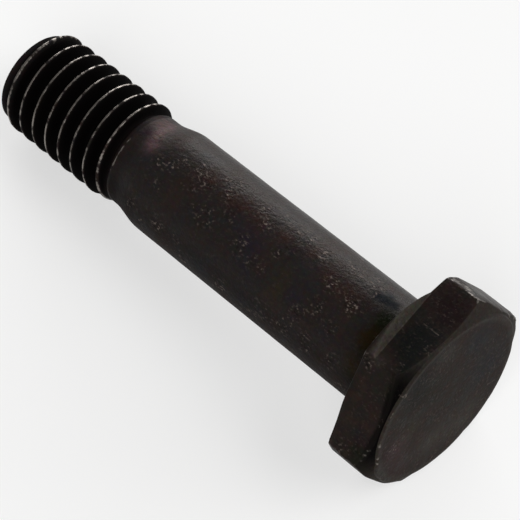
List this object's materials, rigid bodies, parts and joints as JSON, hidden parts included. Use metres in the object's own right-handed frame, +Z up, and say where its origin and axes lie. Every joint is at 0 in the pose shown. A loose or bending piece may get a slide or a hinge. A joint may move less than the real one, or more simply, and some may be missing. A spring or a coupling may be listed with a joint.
{
  "type": "hexagon head sprocket bolt",
  "caption": "Black steel sprocket bolt with a thin hexagon head, a full shank and a rolled thread behind a turned-down neck.",
  "frame": {"origin": "on the floor, under the middle of the bolt's box as it lies at rest", "axes": "+X runs along the lying bolt towards its head, +Y across it along the head's lower flat, +Z up"},
  "size_m": [0.0484, 0.0184, 0.0168],
  "materials": {
    "black_oxide_steel": "satin black oxide over forged and rolled steel, rubbed bright on crests and edges"
  },
  "bodies": {
    "root": {"bolt": "black_oxide_steel"}
  },
  "joints": []
}
